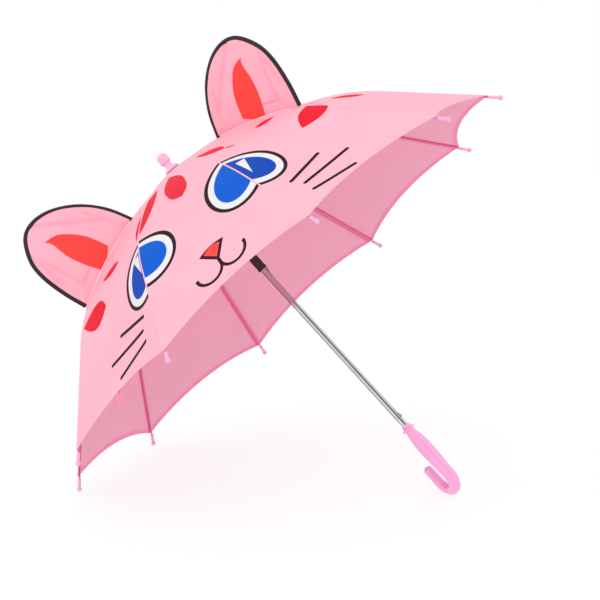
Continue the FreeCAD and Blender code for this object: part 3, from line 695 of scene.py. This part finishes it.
def canopy_gore(tag):
    outer = outer_cloth(tag)
    upper = cloth_sheet("canopy_upper_" + tag, tag, upper_rows(), (outer, INNER))
    lower = cloth_sheet("canopy_lower_" + tag, tag, lower_rows(), (outer, INNER))
    for piece, body, first, last in (
            (upper, "upper_rib_" + tag, 0.0, lambda share: AT_RIVET),
            (lower, "lower_rib_" + tag, AT_RIVET - TUCK, hem_at)):
        length = (AT_RIVET if piece is upper else HEM_CORNER) - first
        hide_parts("canopy_gore_" + tag)
        fold_with(piece, body)
        flat_area(first, last)


for tag in TAGS:
    canopy_gore(tag)

# ------------------------------------------------------------------ ears

# Ear's edge from the upper root over the crest to the lower root: (off the shaft, over the hinges)
EAR_EDGE = ((92, -15.5), (110, 15), (137, 40), (170, 55), (200, 57), (224, 46), (240, 18),
            (242, -10), (235, -42), (225, -70))
EAR_LIFT = 3.1 * MM        # rib wire to the foot of the ear
EAR_MIDDLE = np.array([185 * MM, 0.0])
EAR_HALF_THICKNESS = 3.0 * MM
EAR_RIM_HALF = 0.5 * MM
EAR_RINGS = (1.0, 0.985, 0.96, 0.92, 0.86, 0.78, 0.68, 0.56, 0.42, 0.28, 0.14)
PLEAT_DEPTH = 1.1 * MM
PLEAT_WIDTH = 3 * MM
EAR_WAVE = 0.5 * MM
PLEAT = (np.array([206, 51]) * MM, np.array([120, 2]) * MM)
# Creases where the ear is gathered: start, end, width
EAR_CREASES = (((205, 51), (127, 6), 5), ((236, 24), (228, -30), 6), ((226, 2), (206, -44), 5),
               ((138, 24), (116, -6), 4), ((206, -46), (182, -34), 4))
# painted shade: the darker pink laid into the ear's creases
CREASE_SHADE_PINK = mixed((236, 140, 172))
BEND_BEFORE = 12 * MM      # stretch about the rivet, along the rib
BEND_AFTER = 25 * MM
PIPING_WIDTH = 2.9 * MM
PIPING_THICKNESS = 2.4 * MM


def smooth_line(corners, pieces=10):
    """Curve through all of the corners."""
    corners = [np.array(corner, float) for corner in corners]
    padded = [2 * corners[0] - corners[1]] + corners + [2 * corners[-1] - corners[-2]]
    line = []
    for before, first, second, after in zip(padded, padded[1:], padded[2:], padded[3:]):
        for part in np.arange(pieces) / pieces:
            line.append(0.5 * (2 * first + (second - before) * part
                               + (2 * before - 5 * first + 4 * second - after) * part ** 2
                               + (3 * first - before - 3 * second + after) * part ** 3))
    return line + [corners[-1]]


def to_line(point, ends):
    """Distance from a point to a straight line between two ends."""
    run = ends[1] - ends[0]
    share = min(1.0, max(0.0, float((point - ends[0]) @ run / (run @ run))))
    return float(np.linalg.norm(point - ends[0] - run * share))


def ear_cloth():
    """Pink cloth of the ear with its coral flame, and soft creases with painted shade along them."""
    finish = Finish("ear_cloth", Sheen_Weight=0.02, Specular_IOR_Level=0.08)
    flat_map = finish.node("ShaderNodeUVMap", {"uv_map": "ear"})
    off_shaft, over, flat = finish.parts(flat_map)
    tone = finish.mix(finish.noise(12.0, 3.0), PINK, DEEP_PINK)
    drawn = Print(finish, off_shaft, over)
    red = drawn.flame((158.2, -38), -32.2, 19.3, 27, 80.6)
    tone = finish.mix(red, tone, CORAL)
    creases = whole([drawn.crease(start, end, width) for start, end, width in EAR_CREASES])
    creases = creases * (1 - red)
    # painted shade along the creases, on top of their bump
    tone = finish.mix(creases * 0.34, tone, CREASE_SHADE_PINK)
    soft = finish.noise(28.0, 2.0)
    woven(finish, tone, flat_map, soft * 1.5 * MM - creases * 1.2 * MM, 0.7)
    return finish.material


def piping_cloth():
    finish = Finish("black_piping", Sheen_Weight=0.1, Specular_IOR_Level=0.3)
    ribbed = finish.noise(700.0, 2.0)
    finish.surface(Base_Color=finish.mix(ribbed, mixed((30, 16, 22)), mixed((58, 38, 46))),
                   Roughness=0.6 + ribbed * 0.2, Normal=finish.bump(ribbed, 0.4, 0.3 * MM))
    return finish.material


def tube(name, line, square, widths, thicknesses, material, sides=12):
    """Closed rod along a line; square gives, at each point, the two directions of its section."""
    points, faces = [], []
    for place, (wide, thick), width, thickness in zip(line, square, widths, thicknesses):
        for corner in range(sides):
            turn = 2 * math.pi * corner / sides
            points.append(place + wide * width * math.cos(turn) + thick * thickness * math.sin(turn))
    for ring in range(len(line) - 1):
        for corner in range(sides):
            after = (corner + 1) % sides
            faces.append((ring * sides + corner, ring * sides + after,
                          (ring + 1) * sides + after, (ring + 1) * sides + corner))
    faces.append(tuple(range(sides)))
    faces.append(tuple(reversed(range(len(points) - sides, len(points)))))
    piece = new_piece(name, points, faces, [material])
    outward(piece)
    smooth(piece, 60)
    return piece


def outward(piece):
    """Turn every face of a closed piece outwards."""
    only(piece)
    bpy.ops.object.mode_set(mode="EDIT")
    bpy.ops.mesh.select_all(action="SELECT")
    bpy.ops.mesh.normals_make_consistent(inside=False)
    bpy.ops.object.mode_set(mode="OBJECT")


def ear(side_name, tag, material, piping):
    """Flat pad that stands on a seam, with piping round its free edge."""
    azimuth = rib_azimuth(tag)
    edge = [point * MM for point in smooth_line(EAR_EDGE)]
    foot = [point for point in rib_line(EAR_LIFT, EAR_EDGE[0][0] * MM) if point[0] < edge[-1][0]]
    loop = edge + foot[::-1][::3]
    flat_points, halves = [], []
    for size in EAR_RINGS:
        for point in loop:
            place = EAR_MIDDLE + (point - EAR_MIDDLE) * size
            puff = (1 - size ** 5) ** 0.6
            pleat = PLEAT_DEPTH * math.exp(-(to_line(place, PLEAT) / PLEAT_WIDTH) ** 2)
            wave = EAR_WAVE * math.sin(place[0] * 90) * math.sin(place[1] * 130 + 1)
            half = EAR_RIM_HALF + (EAR_HALF_THICKNESS - EAR_RIM_HALF - pleat + wave) * puff
            flat_points.append(place)
            halves.append(half)
    flat_points.append(EAR_MIDDLE)
    halves.append(EAR_HALF_THICKNESS)
    count = len(loop)
    total = len(flat_points)
    points = [spot(azimuth, place[0], place[1], half) for place, half in zip(flat_points, halves)]
    points += [spot(azimuth, place[0], place[1], -half) for place, half in zip(flat_points, halves)]
    faces = []
    for back in (0, total):
        for ring in range(len(EAR_RINGS) - 1):
            for step in range(count):
                after = (step + 1) % count
                faces.append((back + ring * count + step, back + ring * count + after,
                              back + (ring + 1) * count + after, back + (ring + 1) * count + step))
        last = back + (len(EAR_RINGS) - 1) * count
        for step in range(count):
            faces.append((last + step, last + (step + 1) % count, back + total - 1))
    for step in range(count):
        after = (step + 1) % count
        faces.append((step, after, total + after, total + step))
    piece = new_piece("ear_pad_" + side_name, points, faces, [material])
    layer = piece.data.uv_layers.new(name="ear")
    for polygon in piece.data.polygons:
        for loop_index in polygon.loop_indices:
            vertex = piece.data.loops[loop_index].vertex_index
            layer.data[loop_index].uv = tuple(flat_points[vertex % total])
    outward(piece)
    smooth(piece, 50)
    square, line = [], []
    for before, point, after in zip([edge[0]] + edge, edge, edge[1:] + [edge[-1]]):
        run = (after - before) / np.linalg.norm(after - before)
        inward = np.array([run[1], -run[0]])
        centre = point + inward * PIPING_WIDTH * 0.6
        line.append(spot(azimuth, centre[0], centre[1]))
        square.append((spot(azimuth, inward[0], inward[1]) - CROWN,
                       spot(azimuth, 0, 0, 1.0) - CROWN))
    binding = tube("ear_piping_" + side_name, line, square, [PIPING_WIDTH] * len(line),
                   [PIPING_THICKNESS] * len(line), piping)
    node = "ear_" + side_name
    rivet = Vector(JOINTS["rib_flex_" + tag]["pos_m"])
    run = (spot(azimuth, *along(RIVET_SLOPE)) - CROWN)
    for part in (piece, binding):
        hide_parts(node)
        rivet - run * BEND_BEFORE
        rivet + run * BEND_AFTER
        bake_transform(part)


EAR_CLOTH = ear_cloth()
PIPING = piping_cloth()
ear("right", "02", EAR_CLOTH, PIPING)
ear("left", "09", EAR_CLOTH, PIPING)

# ------------------------------------------------------------------ closing strap

STRAP_HALF_WIDTH = 5 * MM
STRAP_LENGTH = 62 * MM
STRAP_BELOW_HEM = 22 * MM
STRAP_THICKNESS = 0.9 * MM
STRAP_UNDER = -0.9 * MM    # below the cloth that it is sewn to
STRAP_DROOP = 0.06         # fall of the free end, for its length
STRAP_RIPPLE = 0.25 * MM
STRAP_PANEL = 9


def panel_point(number, across, down, lift):
    """Point on a panel, measured from its middle line."""
    half = half_panel(min(down, HEM_CORNER))
    if across >= 0:
        return cloth_point("%02d" % (number + 1), across / half - 1, down, lift)
    return cloth_point("%02d" % number, 1 + across / half, down, lift)


def strap_cloth():
    finish = Finish("strap_tape", Sheen_Weight=0.2, Specular_IOR_Level=0.2)
    flat_map = finish.node("ShaderNodeUVMap", {"uv_map": "strap"})
    aside, down, flat = finish.parts(flat_map)
    ribs = (down * (2 * math.pi / (1.1 * MM))).math("SINE")
    thread = 1 - (abs(abs(aside) - 3.9 * MM) - 0.35 * MM).between(0.0, EDGE)
    tone = finish.mix(finish.noise(70.0), mixed((240, 104, 158)), mixed((250, 124, 172)))
    tone = finish.mix(thread, tone, mixed((255, 176, 206)))
    finish.surface(Base_Color=tone, Roughness=0.7 + ribs * 0.05,
                   Normal=finish.bump(ribs * 0.1 * MM - thread * 0.15 * MM, 0.6, 1.0))
    return finish.material


def closing_strap():
    """Tape sewn under the hem in the middle of a panel, with its end hanging out."""
    end = hem_at(0) + STRAP_BELOW_HEM
    columns = np.linspace(-STRAP_HALF_WIDTH, STRAP_HALF_WIDTH, 13)
    rows = np.linspace(end - STRAP_LENGTH, end, 36)
    points, flat_points = [], []
    for down in rows:
        out = max(0.0, down - hem_at(0))
        for across in columns:
            sag = STRAP_UNDER - STRAP_DROOP * out + STRAP_RIPPLE * math.sin(down * 160)
            points.append(panel_point(STRAP_PANEL, float(across), float(down), sag))
            flat_points.append((float(across), float(down)))
    width = len(columns)
    faces = [(row * width + column, (row + 1) * width + column,
              (row + 1) * width + column + 1, row * width + column + 1)
             for row in range(len(rows) - 1) for column in range(width - 1)]
    piece = new_piece("closing_strap_tape", points, faces, [strap_cloth()])
    layer = piece.data.uv_layers.new(name="strap")
    for loop in piece.data.loops:
        layer.data[loop.index].uv = flat_points[loop.vertex_index]
    modified(piece, "SOLIDIFY", thickness=STRAP_THICKNESS, offset=-1, use_even_offset=False)
    modified(piece, "BEVEL", width=0.25 * MM, segments=2, limit_method="ANGLE")
    smooth(piece, 40)
    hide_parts("closing_strap")
    fold_with(piece, "lower_rib_10")


closing_strap()

# ------------------------------------------------------------------ simple finishes for the frame


def plastic(name, colour, roughness=0.25, coat=0.4, grain=0.0):
    """Moulded or painted surface, slightly cloudy and scuffed."""
    finish = Finish(name, Coat_Weight=coat, Coat_Roughness=0.12)
    cloudy = finish.noise(40.0, 3.0)
    scuff = finish.noise(900.0, 2.0)
    deep = tuple(c * 0.86 for c in colour[:3]) + (1.0,)
    finish.surface(Base_Color=finish.mix(cloudy, deep, colour),
                   Roughness=roughness + (scuff - 0.5) * 0.12,
                   Normal=finish.bump(scuff, 0.1 + grain, 0.1 * MM))
    return finish.material


def steel(name, colour, roughness):
    """Drawn metal with a faint grain."""
    finish = Finish(name, Metallic=1.0)
    drawn = finish.noise(350.0, 3.0)
    worn = finish.noise(60.0, 4.0)
    dull = tuple(c * 0.8 for c in colour[:3]) + (1.0,)
    finish.surface(Base_Color=finish.mix(worn, dull, colour),
                   Roughness=roughness + (drawn - 0.5) * 0.06,
                   Normal=finish.bump(drawn, 0.05, 0.03 * MM))
    return finish.material


def paint_node(node, material):
    piece = frame["nodes"][node]
    for slot in piece.material_slots:
        slot.material = material
    if not piece.material_slots:
        piece.data.materials.append(material)


BRIGHT_STEEL = steel("bright_shaft_steel", mixed((214, 212, 213)), 0.07)
RIB_PAINT = plastic("rib_wire_paint", mixed((238, 120, 168)), 0.3, 0.3)
SPRING_STEEL = steel("spring_catch_steel", mixed((190, 178, 140)), 0.3)
HANDLE_PINK = plastic("handle_pink", mixed((250, 168, 218)), 0.18, 0.7)
FERRULE_PINK = plastic("ferrule_pink", mixed((248, 184, 218)))
TIP_PINK = plastic("tip_pink", mixed((246, 170, 214)))
BLACK_PLASTIC = plastic("runner_black", mixed((34, 26, 30)), 0.4, 0.1, 0.2)

for tag in TAGS:
    paint_node("upper_rib_" + tag, RIB_PAINT)
    paint_node("lower_rib_" + tag, RIB_PAINT)
    paint_node("stretcher_" + tag, RIB_PAINT)
    paint_node("rib_tip_" + tag, TIP_PINK)
paint_node("shaft", BRIGHT_STEEL)
paint_node("crown_notch", BLACK_PLASTIC)
paint_node("runner", BLACK_PLASTIC)
paint_node("upper_catch", SPRING_STEEL)
paint_node("lower_catch", SPRING_STEEL)
paint_node("ferrule", FERRULE_PINK)

# ------------------------------------------------------------------ handle

RIM_CENTRE = CROWN - UP * RIB_DROP
HOOK_AZIMUTH = math.radians(-148)
HOOK_BEND = 18.5 * MM        # middle line of the hook
HOOK_LEG = 20 * MM
HOOK_TURNS = 20
HOOK_SLIMMING = 0.2          # share of its radius that the tube loses round the bend
LEG_SLIMMING = 0.985         # and at each ring of the leg
# Straight part of the handle, downwards: (height from the middle of the rim, radius)
HANDLE_TURNING = ((-223.5, 5.2), (-223.9, 5.7), (-228.2, 6.0), (-228.5, 8.6), (-229.0, 9.0),
                  (-230.9, 9.0), (-231.5, 8.5), (-231.8, 6.2), (-236, 6.6), (-243, 7.9),
                  (-251, 9.1), (-259, 9.6), (-267, 9.6), (-275, 9.3), (-284, 8.9),
                  (-293, 8.4), (-300, 8.1), (-305.5, 7.9))


def hook_handle():
    """Moulded handle, drawn down from its top ring by ring, then round the hook to its end."""
    start, radius = HANDLE_TURNING[0]
    bpy.ops.object.select_all(action="DESELECT")
    bpy.ops.mesh.primitive_circle_add(vertices=40, radius=radius * MM, fill_type="NGON",
                                      location=(0, 0, start * MM))
    piece = bpy.context.object
    bpy.ops.object.transform_apply(location=True)
    bpy.ops.object.mode_set(mode="EDIT")
    bpy.ops.mesh.select_all(action="SELECT")
    height, size = start * MM, radius * MM

    def next_ring(step, growth, centre):
        bpy.ops.mesh.extrude_region_move(TRANSFORM_OT_translate={"value": step})
        bpy.ops.transform.resize(value=(growth,) * 3, center_override=centre)

    for down, radius in HANDLE_TURNING[1:]:
        next_ring((0, 0, down * MM - height), radius * MM / size, (0, 0, down * MM))
        height, size = down * MM, radius * MM
    bend_middle = (HOOK_BEND, 0, height)
    for turn in range(HOOK_TURNS):
        angle = math.pi * (turn + 1) / HOOK_TURNS
        centre = (HOOK_BEND * (1 - math.cos(angle)), 0, height - HOOK_BEND * math.sin(angle))
        growth = 1 - HOOK_SLIMMING * ((turn + 1) / HOOK_TURNS) ** 2
        bpy.ops.mesh.extrude_region_move(TRANSFORM_OT_translate={"value": (0, 0, 0)})
        bpy.ops.transform.rotate(value=math.pi / HOOK_TURNS, orient_axis="Y",
                                 center_override=bend_middle)
        growth = growth * HANDLE_TURNING[-1][1] * MM / size
        bpy.ops.transform.resize(value=(growth,) * 3, center_override=centre)
        size *= growth
    side = 2 * HOOK_BEND
    for step in range(4):
        height += HOOK_LEG / 4
        next_ring((0, 0, HOOK_LEG / 4), LEG_SLIMMING, (side, 0, height))
        size *= LEG_SLIMMING
    for angle in np.radians([15, 30, 45, 60, 73, 84]):
        rise = size * (math.sin(angle) - math.sin(angle - math.radians(13)))
        height += rise
        growth = math.cos(angle) / math.cos(max(0.0, angle - math.radians(15)))
        next_ring((0, 0, rise), growth, (side, 0, height))
    bpy.ops.mesh.select_all(action="SELECT")
    bpy.ops.mesh.normals_make_consistent(inside=False)
    bpy.ops.object.mode_set(mode="OBJECT")
    piece.name = "hook_handle"
    piece.data.name = "hook_handle"
    modified(piece, "BEVEL", width=0.3 * MM, segments=2, limit_method="ANGLE",
             angle_limit=math.radians(40))
    hook_side = toward(HOOK_AZIMUTH)
    turn = Matrix((hook_side, UP.cross(hook_side), UP)).transposed().to_4x4()
    piece.data.transform(Matrix.Translation(RIM_CENTRE) @ turn)
    piece.data.materials.append(HANDLE_PINK)
    smooth(piece, 35)
    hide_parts("handle")
    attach(piece, "shaft")


hook_handle()

# ------------------------------------------------------------------ floor, light and camera


def studio_floor():
    bpy.ops.mesh.primitive_plane_add(size=30.0, location=(0, 0, 0))
    floor = bpy.context.object
    floor.name = "studio_floor"
    finish = Finish("pale_floor", Roughness=0.9, Specular_IOR_Level=0.0, Emission_Strength=0.8,
                    Emission_Color=(1, 1, 1, 1))
    cloudy = finish.mix(finish.noise(2.0), mixed((122, 122, 122)), mixed((126, 126, 126)))
    finish.surface(Base_Color=cloudy)
    floor.data.materials.append(finish.material)


SHAFT_MIDDLE = RIM_CENTRE - UP * 110 * MM
CAMERA_AZIMUTH = math.radians(21.083)
CAMERA_ELEVATION = math.radians(11.812)


def toward_camera(azimuth, elevation):
    return Vector((math.sin(azimuth) * math.cos(elevation), -math.cos(azimuth) * math.cos(elevation),
                   math.sin(elevation)))


def dark_flag(name, turn, distance, width, height):
    """Dark card that only shows as a dark band in the steel tube, at a turn round it."""
    viewer = toward_camera(CAMERA_AZIMUTH, CAMERA_ELEVATION)
    facing = (viewer - UP * viewer.dot(UP)).normalized()
    normal = facing * math.cos(turn) + UP.cross(facing) * math.sin(turn)
    direction = (normal * (2 * normal.dot(viewer)) - viewer) * distance
    middle = SHAFT_MIDDLE + direction
    bpy.ops.object.select_all(action="DESELECT")
    bpy.ops.mesh.primitive_plane_add(size=1.0, location=middle)
    card = bpy.context.object
    card.name = name
    card.scale = (width, height, 1)
    sweep = UP.cross(direction).normalized()
    turned = Matrix((sweep, direction.cross(sweep).normalized(), direction.normalized())).transposed()
    card.rotation_euler = turned.to_euler()
    card.visible_camera = False
    card.visible_diffuse = False
    card.visible_shadow = False
    finish = Finish("flag_felt", Roughness=1.0, Specular_IOR_Level=0.0)
    felt = finish.mix(finish.noise(4.0), mixed((18, 16, 18)), mixed((30, 26, 30)))
    finish.surface(Base_Color=felt)
    card.data.materials.append(finish.material)


def soft_light(name, place, size, power):
    lamp = bpy.data.lights.new(name, "AREA")
    lamp.shape = "DISK"
    lamp.size = size
    lamp.energy = power
    holder = bpy.data.objects.new(name, lamp)
    bpy.context.scene.collection.objects.link(holder)
    holder.location = place
    holder.rotation_euler = (Vector((0, 0, 0.25)) - Vector(place)).to_track_quat("-Z", "Y").to_euler()


def studio_camera(azimuth, elevation, roll, distance, aside, rise, lens):
    """Camera toward the middle of the rim, its picture turned by a small roll."""
    back = toward_camera(azimuth, elevation)
    level = Vector((math.cos(azimuth), math.sin(azimuth), 0))
    right = level * math.cos(roll) + back.cross(level) * math.sin(roll)
    top = back.cross(right)
    eye_point = RIM_CENTRE + back * distance + right * aside + top * rise
    data = bpy.data.cameras.new("camera")
    data.sensor_width = 36
    data.lens = lens
    holder = bpy.data.objects.new("camera", data)
    bpy.context.scene.collection.objects.link(holder)
    turn = Matrix((right, top, back)).transposed().to_4x4()
    holder.matrix_world = Matrix.Translation(eye_point) @ turn
    bpy.context.scene.camera = holder


studio_floor()
dark_flag("flag_over", math.radians(13), 1.2, 0.85, 2.4)
dark_flag("flag_edge", math.radians(62), 1.2, 0.4, 2.4)
dark_flag("flag_low", math.radians(-64), 0.13, 0.1, 0.7)
soft_light("key_light", (0.6, -2.2, 2.6), 1.6, 24)
soft_light("fill_light", (-2.2, -0.8, 1.6), 1.8, 5)
soft_light("back_light", (0.8, 2.2, 2.0), 1.6, 6)
world = bpy.data.worlds.new("white_studio")
world.use_nodes = True
backdrop = world.node_tree.nodes["Background"]
backdrop.inputs["Color"].default_value = (1, 1, 1, 1)
backdrop.inputs["Strength"].default_value = 1.0
bpy.context.scene.world = world
bpy.context.scene.view_settings.view_transform = "Standard"
studio_camera(CAMERA_AZIMUTH, CAMERA_ELEVATION, roll=math.radians(-1.0757), distance=2.686,
              aside=0.016256, rise=-0.005335, lens=125.775)
